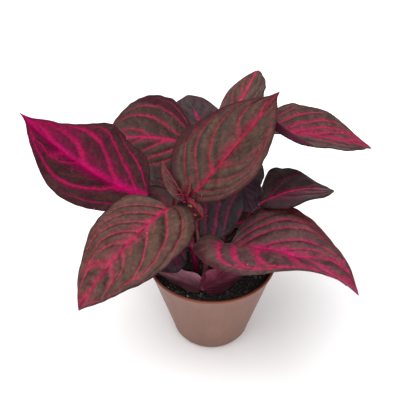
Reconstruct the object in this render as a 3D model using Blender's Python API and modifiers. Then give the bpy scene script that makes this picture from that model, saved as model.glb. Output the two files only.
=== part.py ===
# Potted bloodleaf: a thin plastic pot filled with peat, three rooted stems, and
# broad pointed leaves on petioles. The pot's axis is Z and it stands on z = 0,
# with its front towards -Y. Lengths are in millimetres and angles in degrees.

import math

import bmesh
import bpy
import numpy as np
from mathutils import Vector, noise

MM = 0.001
GAP = 0.3  # left between pieces that touch
SOIL_GAP = 0.5  # the same where flat facets stand in round ones

RIM_RADIUS = 45.0
POT_HEIGHT = 66.6
LIP_WIDTH = 1.7
LIP_HEIGHT = 1.3
LIP_STEP = 0.4  # how far the lip stands out from the wall below it
EASE = 0.4  # bevel of the lip's edges
WALL = 1.0
FLOOR = 1.6
HEEL_RADIUS = 27.5  # where the wall turns in to the foot
HEEL_HEIGHT = 5.5
FOOT_RADIUS = 24.0
FLARE_RADIUS = 41.6  # the wall is steeper below this point than above it
FLARE_HEIGHT = 56.0
TURNED_STEPS = 40
DRAIN_HOLES = 5
DRAIN_RADIUS = 3.0
DRAIN_CIRCLE = 15.0

SOIL_TOP = 62.0
SOIL_RELIEF = 0.9
SOIL_LUMP = 6.0  # length of one lump of peat
SOIL_EDGE = 4.0  # the lumps die out over this distance from the wall
SOIL_CELLS = 12
ROOTING_DEPTH = 18.0
COLLAR = 4.0  # height above the soil at which a stem starts to lean

BLADE = 0.8  # thickness of a leaf
PETIOLE_RADIUS = 1.1
RIB_END = 0.35  # radius of the midrib where it fades out
RIB_REACH = 0.86  # share of the blade that the raised midrib covers
TUBE_RINGS = 2  # bevel resolution: 8 sides
LARGE_LEAF = 60.0  # leaves longer than this get the finer grid
LARGE_CELLS = 11  # cells of the grid along a leaf
SMALL_CELLS = 8
YOUNG_CELLS = 6
LEAF_CELLS_ACROSS = 6
YOUNG_CELLS_ACROSS = 4

# Each stem: points on its axis above the soil, and its radius at foot and top.
STEMS = {
    "stem_main": dict(
        foot=(-10.8, -8.8), radius=(2.3, 1.5),
        path=[(-13.5, -7.5, 84), (-17, -7, 108), (-18, -6, 125)],
    ),
    "stem_side": dict(
        foot=(-5, -19), radius=(2.0, 1.1),
        path=[(-4.2, -14, 71), (-8, -7, 80), (-10, -4, 92), (-11, -4, 104)],
    ),
    "stem_back": dict(
        foot=(8, 14), radius=(2.2, 1.4),
        path=[(9, 22, 84), (8, 34, 106), (6, 46, 124)],
    ),
}

# What every leaf has unless it says otherwise. base is where the blade starts,
# heading the way it points seen from above, rise its slope there, droop and
# sweep how far it bends down and sideways by the tip. roll turns it about its
# midrib, right side down, and twist adds to that by the tip. fold lifts each
# half, curl bends it down by the margin. belly and tip shape the outline: a
# high belly narrows the base and a high tip draws out the point. lobe carries
# a half's base back past the petiole and lift raises it.
LEAF = dict(
    heading=0, rise=20, droop=25, sweep=0, roll=0, twist=0, length=98, width=62,
    left=1.0, right=1.0, fold_l=12, fold_r=12, curl_l=25, curl_r=25,
    belly=0.55, tip=0.95, lobe_r=0.0, lift_r=0.0, wave=1.0, waves=2.5, phase=0.0,
)

LEAVES = {
    "leaf_left": dict(
        stem="stem_main", node=96, base=(-44, 10, 110.6), heading=152, rise=2, droop=-33.5, sweep=-4,
        roll=-12, twist=12, length=111, width=76, fold_l=26, fold_r=24, curl_l=26, curl_r=-15,
        belly=0.62, tip=1.1, wave=1.5, waves=2.0, phase=0.2,
    ),
    "leaf_front_left": dict(
        stem="stem_main", node=114, base=(-29, -13, 120), heading=227, rise=-5, droop=50, sweep=-12,
        roll=-5, twist=9, length=88, width=64, fold_l=9, fold_r=10, curl_l=27, curl_r=19,
        belly=0.4, tip=0.88,
    ),
    "leaf_back_left": dict(
        stem="stem_back", node=108, base=(-13, 38, 135), heading=146, rise=-6, droop=28, sweep=-6,
        roll=-58, twist=-8, length=87, width=60, fold_r=14, curl_r=22, tip=0.9,
    ),
    "leaf_top_right": dict(
        stem="stem_main", node=117, base=(-11, -1, 124), heading=44, rise=26, droop=-5, sweep=1,
        roll=6, twist=-9, length=90, width=67, fold_l=20, fold_r=22, curl_l=5, curl_r=9,
        belly=0.47, tip=1.0,
    ),
    "leaf_back_tip": dict(
        stem="stem_back", node=116, base=(10, 52, 133), heading=70, rise=19, droop=4, sweep=-6,
        roll=-30, twist=10, length=67, width=50, fold_l=15, fold_r=18, curl_l=50, curl_r=12,
        belly=0.5, tip=0.9,
    ),
    "leaf_back_middle": dict(
        stem="stem_back", node=112, base=(1, 54, 119), heading=110, rise=14, droop=20, sweep=-10,
        roll=4, twist=-8, length=73, width=50, curl_r=45, belly=0.5, tip=0.9,
    ),
    "leaf_right_high": dict(
        stem="stem_back", node=108, base=(28.2, 49.6, 138.6), heading=356, rise=2, droop=30, sweep=20,
        roll=-10, twist=4, length=91, width=66, left=1.1, fold_r=2, curl_l=-2, curl_r=-10, lift_r=16,
        belly=0.75, tip=0.86,
    ),
    "leaf_right_low": dict(
        stem="stem_back", node=88, base=(32.3, 17.4, 97.2), heading=6, rise=36, droop=66, sweep=14,
        roll=-19, twist=-6, length=58, width=64, right=0.84, fold_r=14, curl_l=-12, curl_r=10,
        belly=0.68,
    ),
    "leaf_front_right": dict(
        stem="stem_side", node=80, base=(12, -18.4, 88.2), heading=340, rise=28, droop=58, sweep=-13,
        roll=-1, twist=-30, length=92, width=72, left=1.03, fold_l=26, fold_r=26, curl_l=0, curl_r=44,
        belly=0.5, tip=0.94, lobe_r=0.17, lift_r=19,
    ),
    "leaf_shaded_front": dict(
        stem="stem_side", node=99, base=(-9, 6, 109.5), heading=356, rise=-5, droop=20,
        roll=46, length=30, width=54, fold_l=5, fold_r=-10, curl_l=20, curl_r=20,
        belly=0.4, tip=0.55,
    ),
    "leaf_crinkled": dict(
        stem="stem_back", node=100, base=(18.5, 24.5, 117), heading=302, rise=-38, droop=20,
        length=26, width=28, wave=1.5, waves=3.0,
    ),
    "leaf_shaded_left": dict(
        stem="stem_main", node=91, base=(-22, 7, 96), heading=168, rise=10, droop=30,
        roll=-25, length=50, width=42,
    ),
    "leaf_under_left": dict(
        stem="stem_main", node=83, base=(-20, -6.4, 85.4), heading=205, rise=-14, droop=20,
        roll=-35, length=33, width=34,
    ),
    "leaf_soil_left": dict(
        stem="stem_side", node=65, base=(-8.5, -31, 67.6), heading=153, rise=5, droop=0, roll=155,
        length=28, width=22, left=0.6, right=0.9, belly=0.33, tip=0.8,
    ),
    "leaf_soil_right": dict(
        stem="stem_side", node=68, base=(-4.5, -32, 68.5), heading=30, rise=6, droop=0, roll=208,
        length=32, width=24, left=0.6, right=1.15, belly=0.35, tip=0.8,
    ),
    "leaf_low_right": dict(
        stem="stem_back", node=76, base=(17, 17, 82), heading=22, rise=4, droop=25,
        length=48, width=46,
    ),
    "leaf_rear": dict(
        stem="stem_back", node=86, base=(12, 36, 93), heading=84, rise=12, droop=35,
        roll=5, length=72, width=50,
    ),
    "leaf_rear_left": dict(
        stem="stem_back", node=86, base=(-4, 34, 84), heading=143, rise=5, droop=30,
        roll=-5, length=74, width=46, left=1.25, fold_l=0, curl_l=30,
    ),
}

# Young leaves, fused to the top of the stem that they unfold from.
YOUNG = {
    "stem_main": [
        dict(base=(-18, -6, 124), heading=150, rise=55, droop=0, length=27, width=9, fold_l=55, fold_r=55),
        dict(base=(-18, -6, 124), heading=300, rise=-5, droop=60, length=14, width=9),
        dict(base=(-18, -6, 123), heading=60, rise=60, droop=0, length=14, width=8, fold_l=45, fold_r=45),
        dict(base=(-18, -6, 124), heading=230, rise=45, droop=10, length=11, width=7, fold_l=40, fold_r=40),
    ],
    "stem_side": [
        dict(base=(-11, -4, 103), heading=330, rise=50, droop=20, length=12, width=8),
        dict(base=(-11, -4, 103), heading=100, rise=50, droop=20, length=10, width=7),
    ],
    "stem_back": [
        dict(base=(6, 46, 123), heading=0, rise=75, droop=10, length=12, width=8),
        dict(base=(6, 46, 123), heading=180, rise=75, droop=10, length=11, width=7),
    ],
}


def clear_scene():
    for obj in list(bpy.data.objects):
        bpy.data.objects.remove(obj, do_unlink=True)


def new_collection(name):
    collection = bpy.data.collections.new(name)
    bpy.context.scene.collection.children.link(collection)
    return collection


def new_material(name, color, roughness):
    material = bpy.data.materials.new(name)
    material.use_nodes = True
    shader = material.node_tree.nodes["Principled BSDF"]
    shader.inputs["Base Color"].default_value = (*color, 1.0)
    shader.inputs["Roughness"].default_value = roughness
    shader.inputs["Metallic"].default_value = 0.0
    return material


def add_object(name, mesh, collection, material=None):
    obj = bpy.data.objects.new(name, mesh)
    collection.objects.link(obj)
    if material:
        mesh.materials.append(material)
    return obj


def as_helper(obj):
    obj.hide_render = True
    obj.display_type = "WIRE"
    return obj


def evaluated_mesh(obj):
    graph = bpy.context.evaluated_depsgraph_get()
    return bpy.data.meshes.new_from_object(obj.evaluated_get(graph))


def smooth_shaded(mesh):
    mesh.shade_smooth()
    mesh.set_sharp_from_angle(angle=math.radians(40))


def smooth_path(points, samples):
    """Catmull-Rom curve through the points, with this many steps between each two."""
    points = [np.array(p, float) for p in points]
    points = [2 * points[0] - points[1], *points, 2 * points[-1] - points[-2]]
    path = []
    for a, b, c, d in zip(points, points[1:], points[2:], points[3:]):
        for t in np.arange(samples) / samples:
            path.append(0.5 * (2 * b + (c - a) * t + (2 * a - 5 * b + 4 * c - d) * t**2
                               + (3 * b - a - 3 * c + d) * t**3))
    path.append(points[-2])
    return np.array(path)


def tube_mesh(name, path, radii):
    """A closed round tube along the path, with its own radius at each point."""
    curve = bpy.data.curves.new(name, "CURVE")
    curve.dimensions = "3D"
    curve.bevel_depth = MM
    curve.bevel_resolution = TUBE_RINGS
    curve.use_fill_caps = True
    spline = curve.splines.new("POLY")
    spline.points.add(len(path) - 1)
    for point, place, radius in zip(spline.points, path, radii):
        point.co = (*(np.asarray(place) * MM), 1.0)
        point.radius = radius
    obj = bpy.data.objects.new(name, curve)
    bpy.context.scene.collection.objects.link(obj)
    mesh = evaluated_mesh(obj)
    bpy.data.objects.remove(obj)
    bm = bmesh.new()
    bm.from_mesh(mesh)
    bmesh.ops.remove_doubles(bm, verts=bm.verts, dist=1e-7)
    bmesh.ops.triangulate(bm, faces=bm.faces)
    bmesh.ops.recalc_face_normals(bm, faces=bm.faces)
    bm.to_mesh(mesh)
    bm.free()
    return mesh


def stem_path(stem):
    """Axis of a stem: straight up out of its hole in the soil, then through its points."""
    x, y = stem["foot"]
    foot = SOIL_TOP - ROOTING_DEPTH
    upright = [(x, y, z) for z in (foot, (foot + SOIL_TOP) / 2, SOIL_TOP + 1, SOIL_TOP + COLLAR)]
    return smooth_path([*upright, *stem["path"]], 4)


def stem_radii(stem, path):
    foot, top = stem["radius"]
    height = (path[:, 2] - path[0, 2]) / (path[-1, 2] - path[0, 2])
    return foot + (top - foot) * height


def leaf_frame(leaf, along):
    """Point, direction, right side and upper side of the midrib at these shares of its length."""
    step = 1 / 64
    shares = np.arange(0, 1 + step / 2, step)
    pitch = np.radians(leaf["rise"] - leaf["droop"] * shares)
    turn = np.radians(leaf["heading"] + leaf["sweep"] * shares)
    roll = np.radians(leaf["roll"] + leaf["twist"] * shares)[:, None]
    ahead = np.stack([np.cos(pitch) * np.cos(turn), np.cos(pitch) * np.sin(turn), np.sin(pitch)], -1)
    level = np.stack([np.sin(turn), -np.cos(turn), np.zeros_like(turn)], -1)
    upper = np.cross(level, ahead)
    right = level * np.cos(roll) - upper * np.sin(roll)
    upper = upper * np.cos(roll) + level * np.sin(roll)
    middle = (ahead[1:] + ahead[:-1]) / 2 * leaf["length"] * step
    place = np.vstack([np.zeros(3), np.cumsum(middle, axis=0)]) + leaf["base"]

    def read(values):
        within = np.clip(along, 0, 1)
        return np.stack([np.interp(within, shares, values[:, k]) for k in range(3)], -1)

    behind = np.minimum(along, 0)[..., None] * leaf["length"] * ahead[0]
    return read(place) + behind, read(ahead), read(right), read(upper)


def half_width(leaf, along):
    """Share of the greatest half width at this share of the length."""
    belly, tip = leaf["belly"], leaf["tip"]
    widest = belly / (belly + tip)
    return (along / widest) ** belly * ((1 - along) / (1 - widest)) ** tip


def blade_points(leaf, along, across):
    """Middle surface of the blade: along runs from base to tip, across from -1 (left) to 1."""
    is_left = across < 0
    lobe = np.where(is_left, 0, leaf["lobe_r"])
    lift = np.where(is_left, 0, leaf["lift_r"])
    place, _, right, upper = leaf_frame(leaf, along - lobe * (1 - along) ** 4 * across**2)
    profile = half_width(leaf, along)
    share = np.where(is_left, leaf["left"], leaf["right"])
    reach = np.abs(across) * leaf["width"] / 2 * profile * share
    fold = np.radians(np.where(is_left, leaf["fold_l"], leaf["fold_r"]))
    bend = np.radians(np.where(is_left, leaf["curl_l"], leaf["curl_r"])) / (leaf["width"] / 2)
    bend = np.where(np.abs(bend) < 1e-5, 1e-5, bend)
    sideways = (np.sin(fold) - np.sin(fold - bend * reach)) / bend
    height = (np.cos(fold - bend * reach) - np.cos(fold)) / bend
    half_turn = np.where(is_left, 0.5, 0)
    ripple = np.sin(2 * np.pi * (leaf["waves"] * along + leaf["phase"] + half_turn))
    height += leaf["wave"] * across**2 * profile * ripple + lift * (1 - along) ** 5 * np.abs(across)
    return place + right * (np.sign(across) * sideways)[..., None] + upper * height[..., None]


def blade_mesh(name, leaf, cells_along, cells_across):
    """The blade as an open sheet of triangles: a flat grid laid on the leaf's surface."""
    bm = bmesh.new()
    bmesh.ops.create_grid(bm, x_segments=cells_along, y_segments=cells_across, size=1.0)
    bm.verts.ensure_lookup_table()
    flat = np.array([v.co[:2] for v in bm.verts])
    along = (1 - np.cos((flat[:, 0] + 1) / 2 * np.pi)) / 2
    placed = blade_points(leaf, np.clip(along, 0, 1), flat[:, 1])
    for vertex, place in zip(bm.verts, placed):
        vertex.co = Vector(place * MM)
    bmesh.ops.remove_doubles(bm, verts=bm.verts, dist=1e-6)
    bmesh.ops.triangulate(bm, faces=bm.faces, quad_method="SHORT_EDGE")
    mesh = bpy.data.meshes.new(name)
    bm.to_mesh(mesh)
    bm.free()
    return mesh


def petiole_path(leaf, stem):
    """From the stem's skin to the base of the blade, then along under the midrib."""
    axis = stem_path(stem)
    nearest = int(np.argmin(np.abs(axis[:, 2] - leaf["node"])))
    tangent = axis[min(nearest + 1, len(axis) - 1)] - axis[nearest - 1]
    tangent /= np.linalg.norm(tangent)
    base, ahead, _, upper = leaf_frame(leaf, np.array([0.0]))
    out = base[0] - axis[nearest]
    out -= tangent * out.dot(tangent)
    out /= np.linalg.norm(out)
    start = axis[nearest] + out * (stem_radii(stem, axis)[nearest] + GAP)
    end = base[0] - upper[0] * PETIOLE_RADIUS
    outer = start + out * PETIOLE_RADIUS
    pull = np.linalg.norm(end - outer) / 3
    corners = [outer, outer + out * pull, end - ahead[0] * pull, end]
    t = np.linspace(0, 1, 6)[:, None]
    run = ((1 - t) ** 3 * corners[0] + 3 * (1 - t) ** 2 * t * corners[1]
           + 3 * (1 - t) * t**2 * corners[2] + t**3 * corners[3])
    shares = np.linspace(0, RIB_REACH, 7)[1:]
    rib_radii = PETIOLE_RADIUS + (RIB_END - PETIOLE_RADIUS) * shares / RIB_REACH
    place, _, _, upper = leaf_frame(leaf, shares)
    rib = place - upper * (rib_radii - 0.1)[:, None]
    petiole_radii = np.full(len(run) + 1, PETIOLE_RADIUS)
    return np.vstack([start, run, rib]), np.concatenate([petiole_radii, rib_radii])


def add_solidify(obj):
    solidify = obj.modifiers.new("thickness", "SOLIDIFY")
    solidify.thickness = BLADE * MM
    solidify.offset = 0.0


def add_boolean(obj, operation, other):
    boolean = obj.modifiers.new(operation.lower(), "BOOLEAN")
    boolean.operation = operation
    boolean.solver = "EXACT"
    if isinstance(other, bpy.types.Collection):
        boolean.operand_type = "COLLECTION"
        boolean.collection = other
    else:
        boolean.object = other
    return boolean


def make_pot(parts, helpers, material):
    """Turned shell with a lip, a taper that steepens below the flare, and drain holes."""
    lip_foot = POT_HEIGHT - LIP_HEIGHT
    wall_top = RIM_RADIUS - LIP_STEP
    outer = [
        (RIM_RADIUS - EASE, POT_HEIGHT), (RIM_RADIUS, POT_HEIGHT - EASE), (RIM_RADIUS, lip_foot),
        (wall_top, lip_foot - EASE / 2), (FLARE_RADIUS, FLARE_HEIGHT), (HEEL_RADIUS, HEEL_HEIGHT),
        (HEEL_RADIUS - 0.9, HEEL_HEIGHT - 3.0), (FOOT_RADIUS + 0.8, 0.7), (FOOT_RADIUS, 0.0), (0.0, 0.0),
    ]
    inner = [
        (0.0, FLOOR), (FOOT_RADIUS - WALL, FLOOR), (HEEL_RADIUS - WALL - EASE, HEEL_HEIGHT),
        (FLARE_RADIUS - WALL, FLARE_HEIGHT), (RIM_RADIUS - LIP_WIDTH, lip_foot),
        (RIM_RADIUS - LIP_WIDTH, POT_HEIGHT - EASE), (RIM_RADIUS - LIP_WIDTH + EASE, POT_HEIGHT),
    ]
    outline = outer + inner
    bm = bmesh.new()
    corners = [bm.verts.new((r * MM, 0, z * MM)) for r, z in outline]
    for a, b in zip(corners, corners[1:] + corners[:1]):
        if a.co.x > 0 or b.co.x > 0:
            bm.edges.new((a, b))
    mesh = bpy.data.meshes.new("pot")
    bm.to_mesh(mesh)
    bm.free()
    pot = add_object("pot", mesh, parts, material)
    screw = pot.modifiers.new("turned", "SCREW")
    screw.steps = screw.render_steps = TURNED_STEPS
    screw.use_merge_vertices = True
    screw.merge_threshold = 1e-6
    for number in range(DRAIN_HOLES):
        angle = 2 * math.pi * number / DRAIN_HOLES
        place = Vector((DRAIN_CIRCLE * math.cos(angle), DRAIN_CIRCLE * math.sin(angle), FLOOR / 2)) * MM
        drain = cylinder(f"drain_{number + 1}", DRAIN_RADIUS, 3 * FLOOR, place, helpers)
        add_boolean(pot, "DIFFERENCE", drain)


def cylinder(name, radius, height, place, helpers):
    bm = bmesh.new()
    bmesh.ops.create_cone(bm, cap_ends=True, segments=16, radius1=radius * MM, radius2=radius * MM,
                          depth=height * MM)
    mesh = bpy.data.meshes.new(name)
    bm.to_mesh(mesh)
    bm.free()
    obj = add_object(name, mesh, helpers)
    obj.location = place
    return as_helper(obj)


def inner_radius(height):
    """Inside radius of the pot's wall at this height."""
    heights = [FLOOR, HEEL_HEIGHT, FLARE_HEIGHT, POT_HEIGHT - LIP_HEIGHT]
    radii = [FOOT_RADIUS - WALL, HEEL_RADIUS - WALL - EASE, FLARE_RADIUS - WALL, RIM_RADIUS - LIP_WIDTH]
    return float(np.interp(height, heights, radii))


def soil_height(x, y):
    place = Vector((x, y, 0)) / SOIL_LUMP
    lumps = noise.noise(place) + 0.5 * noise.noise(2 * place)
    edge = (inner_radius(SOIL_TOP) - math.hypot(x, y)) / SOIL_EDGE
    return SOIL_TOP + SOIL_RELIEF * lumps * min(max(edge, 0.0), 1.0)


def make_soil(parts, helpers, material):
    """Lumpy top laid on a round grid, drawn down inside the pot, with a hole for each stem."""
    bm = bmesh.new()
    bmesh.ops.create_grid(bm, x_segments=SOIL_CELLS, y_segments=SOIL_CELLS, size=1.0)
    top_radius = inner_radius(SOIL_TOP) - SOIL_GAP
    for vertex in bm.verts:
        x, y, _ = vertex.co
        round_x = x * math.sqrt(1 - y * y / 2) * top_radius
        round_y = y * math.sqrt(1 - x * x / 2) * top_radius
        vertex.co = Vector((round_x, round_y, soil_height(round_x, round_y))) * MM
    rim = [edge for edge in bm.edges if edge.is_boundary]
    for level in (FLARE_HEIGHT, HEEL_HEIGHT, FLOOR + GAP):
        drawn = bmesh.ops.extrude_edge_only(bm, edges=rim)["geom"]
        radius = inner_radius(level) - SOIL_GAP
        for vertex in (item for item in drawn if isinstance(item, bmesh.types.BMVert)):
            flat = Vector((vertex.co.x, vertex.co.y, 0)).normalized() * radius * MM
            vertex.co = (flat.x, flat.y, level * MM)
        rim = [item for item in drawn if isinstance(item, bmesh.types.BMEdge) and item.is_boundary]
    bmesh.ops.contextual_create(bm, geom=rim)
    bmesh.ops.triangulate(bm, faces=bm.faces)
    bmesh.ops.recalc_face_normals(bm, faces=bm.faces)
    mesh = bpy.data.meshes.new("soil")
    bm.to_mesh(mesh)
    bm.free()
    soil = add_object("soil", mesh, parts, material)
    for name, stem in STEMS.items():
        depth = ROOTING_DEPTH + 2 * SOIL_GAP
        place = Vector((*stem["foot"], SOIL_TOP + (COLLAR - depth) / 2)) * MM
        hole = cylinder(f"hole_{name}", stem["radius"][0] + SOIL_GAP, depth + COLLAR, place, helpers)
        add_boolean(soil, "DIFFERENCE", hole)


def make_stem(name, stem, parts, material):
    """A tapering stem with its unfolding leaves fused to its top."""
    path = stem_path(stem)
    obj = add_object(name, tube_mesh(name, path, stem_radii(stem, path)), parts, material)
    young = new_collection(f"{name}_young")
    for number, shape in enumerate(YOUNG[name]):
        leaf = {**LEAF, "wave": 0.0, **shape}
        blade = blade_mesh(name, leaf, YOUNG_CELLS, YOUNG_CELLS_ACROSS)
        sheet = add_object(f"{name}_young_{number}", blade, young)
        add_solidify(sheet)
        sheet.data = evaluated_mesh(sheet)
        sheet.modifiers.clear()
    add_boolean(obj, "UNION", young)
    joined = evaluated_mesh(obj)
    obj.modifiers.clear()
    obj.data = joined
    for sheet in list(young.objects):
        bpy.data.objects.remove(sheet)
    bpy.data.collections.remove(young)
    smooth_shaded(obj.data)


def make_leaf(name, leaf, parts, helpers, material):
    """Thin blade with its petiole and raised midrib joined to it."""
    cells_along = LARGE_CELLS if leaf["length"] >= LARGE_LEAF else SMALL_CELLS
    sheet = blade_mesh(name, leaf, cells_along, LEAF_CELLS_ACROSS)
    obj = add_object(name, sheet, parts, material)
    add_solidify(obj)
    path, radii = petiole_path(leaf, STEMS[leaf["stem"]])
    petiole = as_helper(add_object(f"{name}_petiole", tube_mesh(name, path, radii), helpers))
    add_boolean(obj, "UNION", petiole)
    smooth_shaded(obj.data)


def main():
    clear_scene()
    parts = new_collection("potted_bloodleaf")
    helpers = new_collection("helpers")
    make_pot(parts, helpers, new_material("terracotta_plastic", (0.30, 0.18, 0.14), 0.45))
    make_soil(parts, helpers, new_material("peat", (0.012, 0.011, 0.009), 0.95))
    stem_material = new_material("stem_skin", (0.35, 0.01, 0.09), 0.4)
    for name, stem in STEMS.items():
        make_stem(name, stem, parts, stem_material)
    leaf_material = new_material("leaf_skin", (0.12, 0.05, 0.045), 0.4)
    for name, shape in LEAVES.items():
        make_leaf(name, {**LEAF, **shape}, parts, helpers, leaf_material)


main()
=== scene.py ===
import math
from functools import partial

import bmesh
import bpy
import numpy as np
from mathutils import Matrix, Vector, noise


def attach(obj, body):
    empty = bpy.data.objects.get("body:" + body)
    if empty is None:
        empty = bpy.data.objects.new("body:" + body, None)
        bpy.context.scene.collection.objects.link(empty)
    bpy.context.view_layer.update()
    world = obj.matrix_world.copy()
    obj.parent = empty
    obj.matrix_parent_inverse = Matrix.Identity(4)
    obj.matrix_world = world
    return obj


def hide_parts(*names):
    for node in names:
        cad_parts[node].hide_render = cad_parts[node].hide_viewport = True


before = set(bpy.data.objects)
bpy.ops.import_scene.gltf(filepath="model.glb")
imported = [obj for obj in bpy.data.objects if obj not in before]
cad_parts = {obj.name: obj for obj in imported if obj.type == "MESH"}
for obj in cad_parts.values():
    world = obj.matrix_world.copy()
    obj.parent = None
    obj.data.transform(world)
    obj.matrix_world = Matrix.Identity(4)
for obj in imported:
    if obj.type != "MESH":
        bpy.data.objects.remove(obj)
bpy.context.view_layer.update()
print("frame loaded")

mm = 0.001


# ---- small tools

def linear(hexColour):
    channels = [int(hexColour[start:start + 2], 16) / 255 for start in (1, 3, 5)]
    return (*[c / 12.92 if c <= 0.04045 else ((c + 0.055) / 1.055) ** 2.4 for c in channels], 1.0)


def addNode(tree, family, kind, *inputs, **settings):
    # The inputs come in order or in a dictionary. Each is a value, a socket, or a node whose
    # first live output feeds it.
    node = tree.nodes.new(family + kind)
    for name, value in settings.items():
        setattr(node, name, value)
    inputs = inputs[0] if inputs and isinstance(inputs[0], dict) else dict(enumerate(inputs))
    for key, value in inputs.items():
        if isinstance(value, bpy.types.Node):
            value = next(output for output in value.outputs if output.enabled)
        if isinstance(value, bpy.types.NodeSocket):
            tree.links.new(value, node.inputs[key])
        else:
            node.inputs[key].default_value = value
    return node


def newMaterial(name, finish):
    # the material, its shader, and addNode for the shader nodes of its tree
    material = bpy.data.materials.new(name)
    material.use_nodes = True
    shader = material.node_tree.nodes["Principled BSDF"]
    for socket, value in finish.items():
        shader.inputs[socket].default_value = value
    return material, shader, partial(addNode, material.node_tree, "ShaderNode")


def finishSkin(shader, colour, height, strength, depth):
    # the colour goes into the shader, and a relief that looks this many mm deep
    tree = shader.id_data
    relief = {"Height": height, "Strength": strength, "Distance": depth * mm}
    bump = addNode(tree, "ShaderNode", "Bump", relief)
    tree.links.new(colour.outputs[2], shader.inputs["Base Color"])
    tree.links.new(bump.outputs[0], shader.inputs["Normal"])


def newObject(name, mesh, *materials):
    obj = bpy.data.objects.new(name, mesh)
    bpy.context.scene.collection.objects.link(obj)
    for material in materials:
        mesh.materials.append(material)
    return obj


def plainMesh(obj):
    # what the modifiers make, as a mesh of its own
    graph = bpy.context.evaluated_depsgraph_get()
    mesh = bpy.data.meshes.new_from_object(obj.evaluated_get(graph))
    obj.modifiers.clear()
    obj.data = mesh
    return mesh


def joined(name, objects):
    with bpy.context.temp_override(active_object=objects[0], selected_editable_objects=objects):
        bpy.ops.object.join()
    objects[0].name = name
    return objects[0]


def newTree(name, sockets, made):
    # a Geometry Nodes tree with these inputs: the tree, addNode for it, what its inputs
    # give, and the names by which a modifier sets them
    tree = bpy.data.node_groups.new(name, "GeometryNodeTree")
    tree.is_modifier = True
    new = tree.interface.new_socket
    keys = {label: new(label, in_out="INPUT", socket_type=f"NodeSocket{kind}").identifier
            for label, kind in sockets.items()}
    new(made, in_out="OUTPUT", socket_type="NodeSocketGeometry")
    add = partial(addNode, tree, "")
    return tree, add, add("NodeGroupInput").outputs, keys


def runTree(obj, tree, keys, values):
    # runs the tree on the object with these inputs and keeps the result as a plain mesh
    modifier = obj.modifiers.new(tree.name, "NODES")
    modifier.node_group = tree
    for label, value in values.items():
        modifier[keys[label]] = value
    plainMesh(obj)
    return obj


def smoothPath(points, samples):
    # Catmull-Rom curve through the points, with this many steps between each two
    points = [np.array(p, float) for p in points]
    points = [2 * points[0] - points[1], *points, 2 * points[-1] - points[-2]]
    path = []
    for a, b, c, d in zip(points, points[1:], points[2:], points[3:]):
        for t in np.arange(samples) / samples:
            path.append(0.5 * (2 * b + (c - a) * t + (2 * a - 5 * b + 4 * c - d) * t**2
                               + (3 * b - a - 3 * c + d) * t**3))
    path.append(points[-2])
    return np.array(path)


# ---- materials of the plant

def readMaps(add, *labels):
    # the three numbers of each of these maps, which the blade carries
    attributes = [add("Attribute", attribute_name=label) for label in labels]
    return [add("SeparateXYZ", attribute.outputs["Vector"]).outputs for attribute in attributes]


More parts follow.
